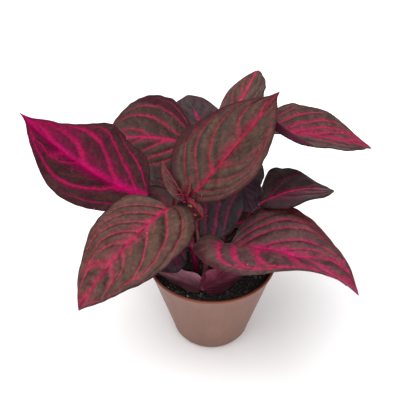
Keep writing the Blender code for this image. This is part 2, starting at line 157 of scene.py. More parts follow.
def leafSkin(name, look, seed):
    # Living leaf: a waxy cuticle over pigmented cells. Satin gloss over a deep colour, with
    # veins that run redder through it and a flush that bleeds from them in feathered flames.
    finish = {"Roughness": 0.45, "IOR": 1.42, "Specular IOR Level": look["sheen"]}
    material, shader, add = newMaterial(name, finish)
    veins, spot, rib = readMaps(add, "veinMap", "leafMap", "ribMap")
    phase, phasePerMm, veinHalf = veins
    across, along, inward = spot
    ribHalf, flushReach, flushBias = rib
    flat = add("CombineXYZ", across, along)
    wander = add("TexNoise", {"Vector": flat, "W": seed, "Scale": 0.11, "Detail": 3.0}, noise_dimensions="4D")
    wander = add("Math", wander, 0.5, operation="SUBTRACT")

    # maps drawn out along the run of the veins, which leave the midrib at about 45 degrees
    offRib = add("Math", across, operation="ABSOLUTE")
    offRib = add("Math", wander, 0.8, offRib, operation="MULTIPLY_ADD")
    acrossRun = add("Math", offRib, -0.8, along, operation="MULTIPLY_ADD")
    alongRun = add("Math", offRib, along, operation="ADD")
    side = add("Math", across, operation="SIGN")
    run = add("CombineXYZ", acrossRun, alongRun, side)
    fine, coarse = [add("VectorMath", run, perMm, operation="MULTIPLY")
                    for perMm in ((0.3, 0.09, 9.0), (0.2, 0.1, 9.0))]
    # each noise has its map, what it adds to the seed, its scale, detail and roughness
    swelling, weakness, pebble, grit, flames, islands, pigment = [
        add("TexNoise", {"Vector": field, "W": seed + shift, "Scale": scale, "Detail": detail,
                         "Roughness": roughness}, noise_dimensions="4D")
        for field, shift, scale, detail, roughness in (
            (flat, 2, 0.25, 2, 0.5), (flat, 12, 0.05, 2, 0.5), (flat, 0, 0.4, 5, 0.7),
            (flat, 21, 0.8, 1, 0.5), (fine, 0, 1, 2.5, 0.5), (coarse, 9, 1, 4, 0.6),
            (coarse, 5, 0.7, 3, 0.5))]

    # the veins wander a little and swell along their way
    bent = add("Math", wander, 0.3, phase, operation="MULTIPLY_ADD")
    offVein = add("Math", bent, 0.5, operation="PINGPONG")
    offVein = add("Math", offVein, phasePerMm, operation="DIVIDE")
    veinShare = add("Math", offVein, veinHalf, operation="DIVIDE")
    swollen = add("Math", veinShare, 0.8, operation="ADD")
    swollen = add("Math", swelling, -1.6, swollen, operation="MULTIPLY_ADD")
    past = add("Math", bent, operation="FRACT")

    # the midrib, the flush beside it, and the flush that leaves dark islands between the veins
    ribShare = add("Math", offRib, ribHalf, operation="DIVIDE")
    flush = add("Math", offRib, flushReach, operation="DIVIDE")
    flush = add("Math", flames, 2.2, flush, operation="MULTIPLY_ADD")
    away = add("Math", veinShare, 6.0, operation="MINIMUM")
    bleed = add("Math", islands, 2.2, flushBias, operation="MULTIPLY_ADD")
    bleed = add("Math", away, -0.08, bleed, operation="MULTIPLY_ADD")
    halo = add("Math", flames, 4.0, veinShare, operation="MULTIPLY_ADD")
    fromEdge = add("Math", wander, 4.0, inward, operation="MULTIPLY_ADD")

    # the finest veins are creases between small pillows, drawn coarser than life. The creases sink into the
    # relief and are also painted darker as shade.
    pillowAcross = add("Math", offVein, 0.22, operation="MULTIPLY")
    pillowAlong = add("Math", alongRun, 0.2, wander, operation="MULTIPLY_ADD")
    pillowAt = add("CombineXYZ", pillowAcross, pillowAlong, side)
    pillow = add("TexVoronoi", {"Vector": pillowAt, "W": seed, "Scale": 1.0}, voronoi_dimensions="4D",
                 feature="DISTANCE_TO_EDGE")

    # each mark: what it is read from, the values between which it changes, its strength at each
    marks = dict(
        line=(swollen, 0.05, 1.6, look["veinFill"], 0.0),
        inside=(inward, 0.0, 6.0, 0.4, 1.0),  # veins fade by the margin
        broad=(veinHalf, 0.08, 0.4, 0.0, 1.0),
        strong=(weakness, 0.34, 0.6, 0.5, 1.0),
        rib=(ribShare, 0.5, 1.35, 1.0, 0.0),
        flush=(flush, 1.1, 2.2, look["flushFill"], 0.0),
        bleed=(bleed, 0.95, 1.35, 0.0, look["bleed"]),
        halo=(halo, 2.6, 6.0, look["halo"], 0.0),
        blotch=(pigment, 0.38, 0.62, 0.0, 1.0),
        crease=(pillow, 0.0, 0.2, 1.0, 0.0),
        band=(fromEdge, 0.0, look["marginWidth"], 0.9, 0.0),
        speckle=(pebble, 0.3, 0.7, 0.7, 1.28),
        # rise and fall together mark painted shade on the tip's side of each vein
        rise=(past, 0.06, 0.2, 0.0, 1.0),  # skin falls into shade on the tip's side of a vein
        fall=(past, 0.22, 0.55, 1.0, 0.0),
        dust=(grit, 0.77, 0.8, 0.0, 0.7),  # a few pale grains lie on the skin
        gloss=(pebble, 0.3, 0.7, 0.38, 0.56),
    )
    marks = {label: add("MapRange", *row, interpolation_type="SMOOTHSTEP")
             for label, row in marks.items()}
    for fading in ("inside", "broad", "strong"):
        marks["line"] = add("Math", marks["line"], marks[fading], operation="MULTIPLY")
    valleyShade = add("Math", marks["rise"], marks["fall"], operation="MULTIPLY")

    colour = linear(look["lamina"])
    for mark, tint in (("blotch", "shade"), ("band", "margin"), ("bleed", "glow"), ("halo", "glow"),
                       ("flush", "glow"), ("line", "vein"), ("rib", "rib")):
        colour = add("Mix", {0: marks[mark], 6: colour, 7: linear(look[tint])}, data_type="RGBA")
    # painted shade in the creases between pillows, over a speckle from the pebbled grain
    shading = add("Math", marks["crease"], -0.12, marks["speckle"], operation="MULTIPLY_ADD")
    # painted shade beside the veins darkens the colour further
    shading = add("Math", valleyShade, -look["valleyShade"], shading, operation="MULTIPLY_ADD")
    colour = add("Mix", {0: 1.0, 6: colour, 7: shading}, data_type="RGBA", blend_type="MULTIPLY")
    colour = add("Mix", {0: marks["dust"], 6: colour, 7: linear("#A89C94")}, data_type="RGBA")
    material.node_tree.links.new(marks["gloss"].outputs[0], shader.inputs["Roughness"])
    height = add("Math", marks["crease"], -0.3, pebble, operation="MULTIPLY_ADD")
    height = add("Math", marks["line"], -0.6, height, operation="MULTIPLY_ADD")
    finishSkin(shader, colour, height, 0.6, 0.35)
    return material


def leafUnderside(name, look, seed):
    # The same leaf from below: no cuticle shine, mauve where the red cells lie close under a
    # pale skin, and the veins stand out of it.
    material, shader, add = newMaterial(name, {"Roughness": 0.5, "IOR": 1.4, "Specular IOR Level": 0.15})
    vein, spot = readMaps(add, "veinMap", "leafMap")
    flat = add("CombineXYZ", spot[0], spot[1])
    veinShare = add("Math", vein[0], 0.5, operation="PINGPONG")
    for divisor in (vein[1], vein[2]):
        veinShare = add("Math", veinShare, divisor, operation="DIVIDE")
    blotch, pebble = [
        add("TexNoise", {"Vector": flat, "W": seed, "Scale": scale, "Detail": detail}, noise_dimensions="4D")
        for scale, detail in ((0.12, 4.0), (0.9, 3.0))]
    blotch = add("MapRange", blotch, 0.35, 0.65)
    # painted shade: the underside darkens low down near the soil, fully below the lower of the two heights
    place = add("SeparateXYZ", add("TexCoord").outputs["Object"])
    lowest, highest = [height * mm for height in look["soilShadeBetween"]]
    line, low = [add("MapRange", *row, interpolation_type="SMOOTHSTEP")
                 for row in ((veinShare, 0.3, 1.1, 0.6, 0.0), (place.outputs[2], lowest, highest, 0.95, 0.0))]
    colour = linear(look["below"])
    for mark, tint in ((blotch, "belowShade"), (line, "belowVein"), (low, "belowSoilShade")):
        colour = add("Mix", {0: mark, 6: colour, 7: linear(look[tint])}, data_type="RGBA")
    height = add("Math", line, 1.2, pebble, operation="MULTIPLY_ADD")
    finishSkin(shader, colour, height, 0.5, 0.3)
    return material


def stemSkin(name, pale, deep, shaded):
    # Juicy herbaceous stem: thin smooth skin over wet flesh, so it glows magenta, darker in
    # lengthwise streaks and browner in patches.
    finish = {"Roughness": 0.36, "IOR": 1.4, "Subsurface Weight": 0.15, "Subsurface Scale": 1.5 * mm,
              "Subsurface Radius": (1.0, 0.3, 0.4)}
    material, shader, add = newMaterial(name, finish)
    place = add("TexCoord").outputs["Object"]
    stretched = add("VectorMath", place, (900, 900, 70), operation="MULTIPLY")
    streak = add("TexNoise", {"Vector": stretched, "Scale": 1.0, "Detail": 4.0})
    streak = add("MapRange", streak, 0.35, 0.65)
    patch = add("TexNoise", {"Vector": place, "Scale": 90.0, "Detail": 3.0})
    patch = add("MapRange", patch, 0.5, 0.68)
    colour = add("Mix", {0: streak, 6: linear(pale), 7: linear(deep)}, data_type="RGBA")
    colour = add("Mix", {0: patch, 6: colour, 7: linear(shaded)}, data_type="RGBA")
    finishSkin(shader, colour, streak, 0.3, 0.2)
    return material


# ---- a tube along a path, for stems and petioles

def tubeTree():
    tree, add, given, keys = newTree("fleshy tube", {"Path": "Geometry", "Sides": "Int", "Ridge": "Float",
                                                     "Skin": "Material"}, "Tube")
    radius = add("GeometryNodeInputNamedAttribute", {"Name": "radius"}, data_type="FLOAT").outputs[0]
    curve = add("GeometryNodeMeshToCurve", {"Mesh": given["Path"]})
    # the section is a circle with four low ridges
    circle = add("GeometryNodeCurvePrimitiveCircle", {"Resolution": given["Sides"], "Radius": 1.0},
                 mode="RADIUS")
    at = add("GeometryNodeInputPosition")
    split = add("ShaderNodeSeparateXYZ", at)
    turn = add("ShaderNodeMath", split.outputs[1], split.outputs[0], operation="ARCTAN2")
    turn = add("ShaderNodeMath", turn, 4.0, operation="MULTIPLY")
    turn = add("ShaderNodeMath", turn, operation="COSINE")
    swell = add("ShaderNodeMath", turn, given["Ridge"], operation="MULTIPLY")
    offset = add("ShaderNodeVectorMath", {0: at, "Scale": swell}, operation="SCALE")
    circle = add("GeometryNodeSetPosition", {"Geometry": circle, "Offset": offset})
    tube = add("GeometryNodeCurveToMesh", {"Curve": curve, "Profile Curve": circle, "Scale": radius,
                                           "Fill Caps": True})
    tube = add("GeometryNodeSetShadeSmooth", {"Geometry": tube})
    tube = add("GeometryNodeRealizeInstances", {"Geometry": tube})
    tube = add("GeometryNodeSetMaterial", {"Geometry": tube, "Material": given["Skin"]})
    add("NodeGroupOutput", {"Tube": tube})
    return tree, keys


tubeNodes = tubeTree()


def tubeAlong(name, path, radii, skin, sides=12, ridge=0.0):
    mesh = bpy.data.meshes.new(name)
    mesh.from_pydata(path * mm, [(i, i + 1) for i in range(len(path) - 1)], [])
    mesh.attributes.new("radius", "FLOAT", "POINT").data.foreach_set("value", radii * mm)
    return runTree(newObject(name, mesh), *tubeNodes, {"Sides": sides, "Ridge": ridge, "Skin": skin})


# ---- stems

soilTop = 62.0
rootingDepth = 18.0
collar = 4.0  # height above the soil at which a stem starts to lean

# points on each axis above the soil, and its radius at foot and top
stems = {
    "stem_main": dict(foot=(-10.8, -8.8), radius=(2.3, 1.5),
                      path=[(-13.5, -7.5, 84), (-17, -7, 108), (-18, -6, 125)]),
    "stem_side": dict(foot=(-5, -19), radius=(2.0, 1.1),
                      path=[(-4.2, -14, 71), (-8, -7, 80), (-10, -4, 92), (-11, -4, 104)]),
    "stem_back": dict(foot=(8, 14), radius=(2.2, 1.4),
                      path=[(9, 22, 84), (8, 34, 106), (6, 46, 124)]),
}


def stemPath(stem, samples):
    x, y = stem["foot"]
    foot = soilTop - rootingDepth
    upright = [(x, y, z) for z in (foot, (foot + soilTop) / 2, soilTop + 1, soilTop + collar)]
    return smoothPath([*upright, *stem["path"]], samples)


def stemRadii(stem, path):
    foot, top = stem["radius"]
    height = (path[:, 2] - path[0, 2]) / (path[-1, 2] - path[0, 2])
    return foot + (top - foot) * height


# ---- leaves

# The shape and look of a leaf unless it says otherwise. A share is of the length, from the
# base, or of the half width, from the midrib. A pair under one name is left and right.
leafDefaults = dict(
    # base is where the blade starts, heading the way it points seen from above, rise its slope
    # there, droop and sweep how far it bends down and sideways by the tip. roll turns it about
    # its midrib, right side down, and twist adds to that by the tip. under is 1 where the
    # petiole lies under the blade and -1 where it lies on it.
    heading=0, rise=20, droop=25, sweep=0, roll=0, twist=0, under=1.0,
    # halves widens each half, belly and tip shape the outline, ragged notches it and dripTip
    # draws it out. taper narrows the right half by the tip and hollow near the base.
    length=98, width=62, halves=(1, 1), belly=0.55, tip=0.95, ragged=0.9, dripTip=0.2, taper=0, hollow=0,
    # fold lifts each half, curl bends it down by the margin, and wave ripples the margin this
    # high, waves times, from this phase on. turned is a right margin that stands up: its
    # height, the share where it ends and its lean.
    fold=(12, 12), curl=(25, 25), wave=1.0, waves=2.5, phase=0.0, turned=(0, 1, 90),
    # lobe lets a half reach back beside the base. On the right, full widens it there and lift
    # raises it, in an arch where liftArch is large.
    lobe=(0, 0), full=0, lift=0, liftArch=0.01,
    # each large vein has the share at which it leaves the midrib, the share of the half width
    # it tends to, how soon it turns that way, and a factor for its breadth. Veins fade over
    # veinRun and the midrib over ribRun. quilt is how high the skin stands between veins.
    veinsLeft=[(-0.3, 1.05, 2.2, 0.8), (-0.02, 1.1, 2.4, 1), (0.17, 1.1, 2.6, 1), (0.36, 1.0, 2.8, 1),
               (0.58, 0.9, 3, 0.8)],
    veinsRight=[(-0.2, 1.05, 2.2, 0.8), (0.05, 1.1, 2.4, 1), (0.26, 1.1, 2.6, 1), (0.46, 1.0, 2.8, 1),
                (0.66, 0.9, 3, 0.8)],
    veinRun=(0.5, 0.75), ribRun=(1.2, 1.3), quilt=0.8,
    # colours of the upper side and of the lower one, which has painted shade that darkens it towards the soil
    # between two heights
    lamina="#4A3734", shade="#3B2A2B", margin="#2E1A20", vein="#A03050", rib="#B0285A", glow="#7E2C42",
    below="#6E2B48", belowShade="#55203A", belowVein="#A84A70", belowSoilShade="#1E0A14", soilShadeBetween=(0, 1),
    # breadths at the base, and how strongly each mark covers the lamina. bleed grows from the
    # first bias at the base to the second at the tip, evenly or over biasRun, and has biasMore
    # on the right. band makes the margin's colour this much deeper around bandAt. valley is
    # the painted shade beside the veins: how much it darkens the skin there.
    veinWidth=1.2, ribWidth=2.2, flush=4.0, flushSides=(1, 1), marginWidth=2.0, veinFill=0.8, halo=0.45,
    flushFill=0.6, bleed=0.7, bias=(-0.4, -0.1), biasRun=None, biasMore=0, band=(0, 0), bandAt=0.5,
    valleyShade=0.25, sheen=0.14,
)

# node is the height at which the petiole leaves its stem
leaves = {
    "leaf_left": dict(
        stem="stem_main", node=96, base=(-44, 10, 110.6), heading=152, rise=2, droop=-33.5, sweep=-4,
        roll=-12, twist=12, length=111, width=76, fold=(26, 24), curl=(26, -15),
        belly=0.62, tip=1.1, wave=1.5, waves=2.0, phase=0.2,
        taper=0.22, hollow=0.16, dripTip=0.4, quilt=0.7,
        veinsLeft=[(-0.4, 1.1, 2, 0.8), (0.17, 0.83, 6.6, 1.3), (0.5, 0.52, 14, 0.9), (0.61, 1.05, 14, 1.5)],
        veinsRight=[(-0.1, 1.1, 4, 0.5), (0.05, 1.1, 3.2, 0.9), (0.19, 1.6, 1.6, 1.4), (0.45, 1.3, 2.3, 1.8)],
        lamina="#3C2020", shade="#30161A", margin="#3C0C1C", vein="#9C0444", rib="#98004C", glow="#660432",
        veinWidth=3.0, ribWidth=8.2, flush=11.0, halo=0.6, flushFill=0.9, bleed=0.9, bias=(-0.4, 0.6),
        biasRun=(0.45, 0.8), sheen=0.07,
    ),
    "leaf_front_left": dict(
        stem="stem_main", node=114, base=(-29, -13, 120), heading=227, rise=-5, droop=50, sweep=-12,
        roll=-5, twist=9, length=88, width=64, fold=(9, 10), curl=(27, 19),
        belly=0.4, tip=0.88, lobe=(0.12, 0), quilt=2.2, valleyShade=0.4,
        veinsLeft=[(-0.3, 1.1, 2.6, 0.8), (0.02, 0.84, 5.4, 1), (0.19, 1.3, 2.0, 1.1), (0.46, 0.6, 9, 0.8),
                   (0.58, 1.0, 8, 1.6)],
        veinsRight=[(0.0, 0.98, 7, 0.9), (0.08, 0.98, 5.2, 1), (0.18, 0.98, 4.6, 1), (0.28, 0.72, 6.5, 1),
                    (0.38, 0.52, 7.5, 1), (0.6, 1.0, 7, 1.6)],
        lamina="#543A32", shade="#463028", margin="#381A20", vein="#942A40", rib="#961A44", glow="#862C40",
        veinWidth=1.5, ribWidth=2.8, flush=6.0, flushFill=0.8, bias=(-0.5, 0.4),
    ),
    "leaf_back_left": dict(
        stem="stem_back", node=108, base=(-13, 38, 135), heading=146, rise=-6, droop=28, sweep=-6,
        roll=-58, twist=-8, length=87, width=60, fold=(12, 14), curl=(25, 22), tip=0.9, quilt=1.2,
        veinsLeft=[(-0.3, 1.1, 1.3, 0.7), (-0.03, 1.1, 1.3, 0.9), (0.23, 1.1, 1.3, 1), (0.5, 1.0, 1.6, 0.9)],
        veinsRight=[(-0.7, 1.0, 2.4, 0.7), (-0.45, 1.0, 1.6, 1), (-0.02, 1.1, 1.25, 1.5),
                    (0.42, 0.4, 4, 1.4)],
        lamina="#48322E", shade="#3C2824", margin="#380E1A", vein="#A61E40", rib="#AC1450", glow="#82203E",
        veinWidth=1.5, ribWidth=2.4, flush=3.0, veinRun=(0.9, 1.2), band=(0, 10), bandAt=0.22,
    ),
    "leaf_top_right": dict(
        stem="stem_main", node=117, base=(-11, -1, 124), heading=44, rise=26, droop=-5, sweep=1,
        roll=6, twist=-9, length=90, width=67, fold=(20, 22), curl=(5, 9),
        belly=0.47, tip=1.0, dripTip=0.4, lobe=(0.07, 0.075), quilt=1.8, valleyShade=0.35,
        veinsLeft=[(-0.12, 0.92, 5, 0.9), (0.02, 1.05, 3.3, 0.9), (0.17, 0.98, 2.9, 1.1),
                   (0.48, 1.2, 2.4, 1.2)],
        veinsRight=[(-0.08, 0.93, 13, 0.7), (0.0, 0.85, 13, 0.9), (0.1, 0.82, 9, 1), (0.25, 0.8, 7.5, 1.3),
                    (0.76, 0.9, 8, 0.8)],
        lamina="#4E372E", shade="#442F2A", margin="#3C0C16", vein="#861830", rib="#921638", glow="#762032",
        veinWidth=1.3, ribWidth=2.6, flush=5.0, halo=0.4, flushFill=0.9, marginWidth=3.0, band=(5, 0),
        bandAt=0.36,
    ),
    "leaf_back_tip": dict(
        stem="stem_back", node=116, base=(10, 52, 133), heading=70, rise=19, droop=4, sweep=-6,
        roll=-30, twist=10, length=67, width=50, fold=(15, 18), curl=(50, 12),
        belly=0.5, tip=0.9, dripTip=0.0,
        veinsRight=[(-0.2, 1.05, 2.2, 0.4), (0.12, 1.1, 2.4, 0.6), (0.5, 1.1, 2.6, 0.4)],
        lamina="#48382C", shade="#3E2C26", margin="#34141A", vein="#8A263C", rib="#A02A46", glow="#86283E",
        ribWidth=4.2, flush=6.0, veinFill=0.25,
    ),
    "leaf_back_middle": dict(
        stem="stem_back", node=112, base=(1, 54, 119), heading=110, rise=14, droop=20, sweep=-10,
        roll=4, twist=-8, length=73, width=50, curl=(25, 45), belly=0.5, tip=0.9,
        lamina="#3C3232", shade="#342828", margin="#2E1016", vein="#501E2E", rib="#861840", glow="#521C2C",
        ribWidth=3.6, flush=3.0, veinFill=0.2, band=(16, 0), ribRun=(0.56, 0.72),
    ),
    "leaf_right_high": dict(
        stem="stem_back", node=108, base=(28.2, 49.6, 138.6), heading=356, rise=2, droop=30, sweep=20,
        roll=-10, twist=4, length=91, width=66, halves=(1.1, 1), fold=(12, 2), curl=(-2, -10),
        belly=0.75, tip=0.86, taper=0.35, dripTip=0.35, ragged=1.4, lift=16,
        turned=(8.5, 0.38, 95), quilt=1.3, valleyShade=0.3,
        veinsLeft=[(-0.2, 1.6, 1.3, 0.7), (0.0, 1.7, 1.2, 1), (0.18, 1.3, 1.4, 1.1), (0.29, 1.2, 1.0, 1.4),
                   (0.45, 1.2, 1.0, 1)],
        veinsRight=[(0.1, 1.1, 2.5, 0.5), (0.35, 1.0, 2, 0.5)],
        lamina="#503A34", shade="#402E2C", margin="#1E0C10", vein="#9A2844", rib="#A41C4E", glow="#8C2246",
        below="#45182A", belowShade="#381422", belowVein="#4A1A2A", sheen=0.06,
        veinWidth=2.1, ribWidth=2.6, flush=6.0, flushSides=(1, 1.5), flushFill=0.7, halo=0.6,
        bias=(-0.4, 0.5), biasRun=(0.6, 0.95),
    ),
    "leaf_right_low": dict(
        stem="stem_back", node=88, base=(32.3, 17.4, 98.8), heading=6, rise=36, droop=66, sweep=14,
        roll=-19, twist=-6, length=58, width=64, halves=(1, 0.84), fold=(12, 2), curl=(-12, 10),
        belly=0.68, veinsLeft=[(0.12, 1.2, 1.8, 1.0), (0.6, 1.2, 1.8, 0.6)], veinsRight=[(0.2, 1.0, 3, 0.5)],
        lamina="#463234", shade="#3A242A", margin="#30161A", vein="#682034", rib="#D62260", glow="#822244",
        veinFill=0.5, ribWidth=2.4, flushSides=(1, 3.5), sheen=0.06,
    ),
    "leaf_front_right": dict(
        stem="stem_side", node=80, base=(12, -18.4, 88.2), heading=340, rise=28, droop=58, sweep=-13,
        roll=-1, twist=-30, length=92, width=72, halves=(1.03, 1), fold=(26, 26), curl=(8, 44), belly=0.5,
        tip=0.94, lobe=(0, 0.19), full=4.0, lift=36, liftArch=2.3, wave=2.4, waves=1.4, phase=0.33, quilt=1.6,
        veinsLeft=[(-0.38, 1.5, 1.2, 0.7), (-0.15, 1.5, 1.3, 0.9), (0.0, 1.7, 1.1, 0.9), (0.19, 2.5, 0.6, 1),
                   (0.36, 2.5, 0.62, 1), (0.52, 2.5, 0.9, 0.9)],
        veinsRight=[(0.02, 0.93, 16, 1.0), (0.1, 0.9, 15, 1.3), (0.24, 0.88, 13, 2.0), (0.45, 1.0, 8, 2.0)],
        lamina="#523836", shade="#462A2E", margin="#4C1C22", vein="#A01C48", rib="#AC085A", glow="#921A46",
        veinWidth=1.5, ribWidth=4.6, flush=5.0, flushSides=(1, 2.6), flushFill=0.95, halo=0.5,
        bias=(-0.3, 0.4), biasRun=(0.5, 0.9), biasMore=0.42, band=(6, -5), marginWidth=4.0,
    ),
    "leaf_shaded_front": dict(
        stem="stem_side", node=99, base=(-9, 6, 109.5), heading=356, rise=-5, droop=20, roll=46,
        length=30, width=54, fold=(5, -10), curl=(20, 20), belly=0.4, tip=0.55,
        veinsLeft=[(-0.12, 1.6, 8, 1), (0.18, 1.6, 8, 1), (0.45, 1.6, 8, 1), (0.68, 1.6, 6, 1)],
        veinsRight=[(-0.12, 1.7, 9, 1), (0.18, 1.7, 9, 1), (0.45, 1.7, 9, 1.1), (0.68, 1.6, 7, 0.9)],
        lamina="#3A3638", shade="#2C282A", margin="#2C1E1A", vein="#801C48", rib="#48202C", glow="#4C2234",
        veinWidth=2.8, ribWidth=0.2, flush=0.5,
    ),
    "leaf_crinkled": dict(
        stem="stem_back", node=100, base=(18.5, 24.5, 117), heading=302, rise=-38, droop=20,
        length=26, width=28, wave=1.5, waves=3.0, ribWidth=1.4, marginWidth=0.6,
        lamina="#372A32", shade="#2A1E25", margin="#6A5058", vein="#3E1A28", rib="#4A1A2C", glow="#34182A",
        below="#2E242A", belowShade="#221A20", belowVein="#4E2238",
    ),
    "leaf_shaded_left": dict(
        stem="stem_main", node=91, base=(-22, 7, 96), heading=168, rise=10, droop=30, roll=-25,
        length=50, width=42, veinsRight=[(0.08, 2.5, 9, 1.8), (0.17, 0.74, 12, 1.6), (0.6, 0.9, 3, 1)],
        lamina="#402826", shade="#321E22", margin="#220A12", vein="#7A0E2E", rib="#880A34", glow="#600E24",
    ),
    "leaf_under_left": dict(
        stem="stem_main", node=83, base=(-20, -6.4, 85.4), heading=205, rise=-14, droop=20, roll=-35,
        length=30.5, width=32, veinWidth=2.6,
        veinsLeft=[(-0.1, 3, 9, 1.4), (0.1, 3, 9, 1.6), (0.32, 3, 9, 1.6), (0.55, 3, 9, 1.4)],
        lamina="#2C2A2E", shade="#1C1A1E", margin="#2A2024", vein="#6A1036", rib="#6A1036", glow="#4A1430",
    ),
    "leaf_soil_left": dict(
        stem="stem_side", node=65, base=(-7.5, -32.2, 67.4), heading=153, rise=5, droop=0, roll=155,
        length=37, width=22, halves=(0.75, 0.45), belly=0.2, tip=0.75, wave=0.6, under=-1.0,
        below="#C88E9C", belowShade="#A06278", belowVein="#B07084", belowSoilShade="#2A060E",
        soilShadeBetween=(67.3, 72.8),
    ),
    "leaf_soil_right": dict(
        stem="stem_side", node=68, base=(-5.4, -33.4, 68), heading=30, rise=6, droop=0, roll=208,
        length=35, width=24, halves=(0.6, 0.82), belly=0.3, tip=0.8, wave=0.6, under=-1.0,
        below="#AC5C76", belowShade="#883C56", belowVein="#984A66", belowSoilShade="#2C020C",
        soilShadeBetween=(67.2, 74.5),
    ),
    "leaf_low_right": dict(
        stem="stem_back", node=76, base=(17, 17, 82), heading=22, rise=4, length=48, width=46,
    ),
    "leaf_rear": dict(
        stem="stem_back", node=86, base=(12, 36, 93), heading=84, rise=12, droop=35, roll=5,
        length=72, width=50,
    ),
    "leaf_rear_left": dict(
        stem="stem_back", node=86, base=(-4, 34, 84), heading=143, rise=5, droop=30, roll=-5,
        length=74, width=46, halves=(1.25, 1), fold=(0, 12), curl=(30, 25),
    ),
}

blade = dict(
    thickness=0.5, cellSize=0.95, cellsAlong=(36, 116), cellsAcross=(24, 68), crowding=0.75, notchSize=6,
    # the shares of the length over which the outline's features run
    taperRun=(0.4, 0.8), hollowAt=0.27, hollowReach=0.15, tipRun=(0.84, 0.97), bandReach=0.25,
    stripRun=(0.08, 0.15), stripBend=1.5,
    # relief on the skin, and how veins thin towards margin and tip, and stop at the margin
    reliefFade=5, troughDepth=0.25, troughHalf=1.6, lumpSize=7, lumpHeight=0.35,
    thinAcross=0.25, thinAlong=0.3, veinFade=2.5, veinStop=(0.78, 0.96), ribThin=0.55,
)
petiole = dict(
    radius=1.1, sunk=0.6, standOff=0.9, steps=22, flare=0.45, flareRun=6, jointFlare=1.5,
    ribSteps=30, ribEnd=0.3, ribReach=0.9, ribSunk=0.3,
)


def leafFrame(leaf, along):
    # point, direction, right side and upper side of the midrib at these shares of its length
    step = 1 / 128
    shares = np.arange(0, 1 + step / 2, step)
    pitch = np.radians(leaf["rise"] - leaf["droop"] * shares)
    turn = np.radians(leaf["heading"] + leaf["sweep"] * shares)
    roll = np.radians(leaf["roll"] + leaf["twist"] * shares)[:, None]
    ahead = np.stack([np.cos(pitch) * np.cos(turn), np.cos(pitch) * np.sin(turn), np.sin(pitch)], -1)
    level = np.stack([np.sin(turn), -np.cos(turn), np.zeros_like(turn)], -1)
    upper = np.cross(level, ahead)
    right = level * np.cos(roll) - upper * np.sin(roll)
    upper = upper * np.cos(roll) + level * np.sin(roll)
    middle = (ahead[1:] + ahead[:-1]) / 2 * leaf["length"] * step
    place = np.vstack([np.zeros(3), np.cumsum(middle, axis=0)]) + leaf["base"]

    def read(values):
        within = np.clip(along, 0, 1)
        return np.stack([np.interp(within, shares, values[:, k]) for k in range(3)], -1)

    behind = np.minimum(along, 0)[..., None] * leaf["length"] * ahead[0]
    return read(place) + behind, read(ahead), read(right), read(upper)


def halfWidth(leaf, along):
    belly, tip = leaf["belly"], leaf["tip"]
    widest = belly / (belly + tip)
    return (along / widest) ** belly * ((1 - along) / (1 - widest)) ** tip


def veinPhase(veins, along, across):
    # Counts veins from the base. Each leaves the midrib and arches towards the margin, and
    # between two of them lie all the courses between. Halving finds the start of the course
    # through a point. Also gives how far along the leaf that has come, and a vein's breadth there.
    halvings, before, after = 24, 0.8, 0.2
    starts, reaches, arches, breadths = np.array(veins, float).T
    low, high = np.full_like(along, starts[0] - before), along.copy()
    for _ in range(halvings):
        start = (low + high) / 2
        reach, arch = np.interp(start, starts, reaches), np.interp(start, starts, arches)
        reached = reach * (1 - np.exp(-arch * (along - start))) > across
        low, high = np.where(reached, start, low), np.where(reached, high, start)
    known = [starts[0] - after, *starts, starts[-1] + 2 * after]
    count = [-0.6, *range(len(starts)), len(starts) + 0.5]
    return np.interp(low, known, count), along - low, np.interp(low, starts, breadths)


def smoothstep(value, start, end):
    t = np.clip((value - start) / (end - start), 0, 1)
    return t * t * (3 - 2 * t)


def spacing(points, axis):
    step = np.linalg.norm(np.diff(points, axis=axis), axis=-1)
    first, last = np.take(step, [0], axis), np.take(step, [-1], axis)
    return np.maximum((np.concatenate([first, step], axis) + np.concatenate([step, last], axis)) / 2, 0.02)


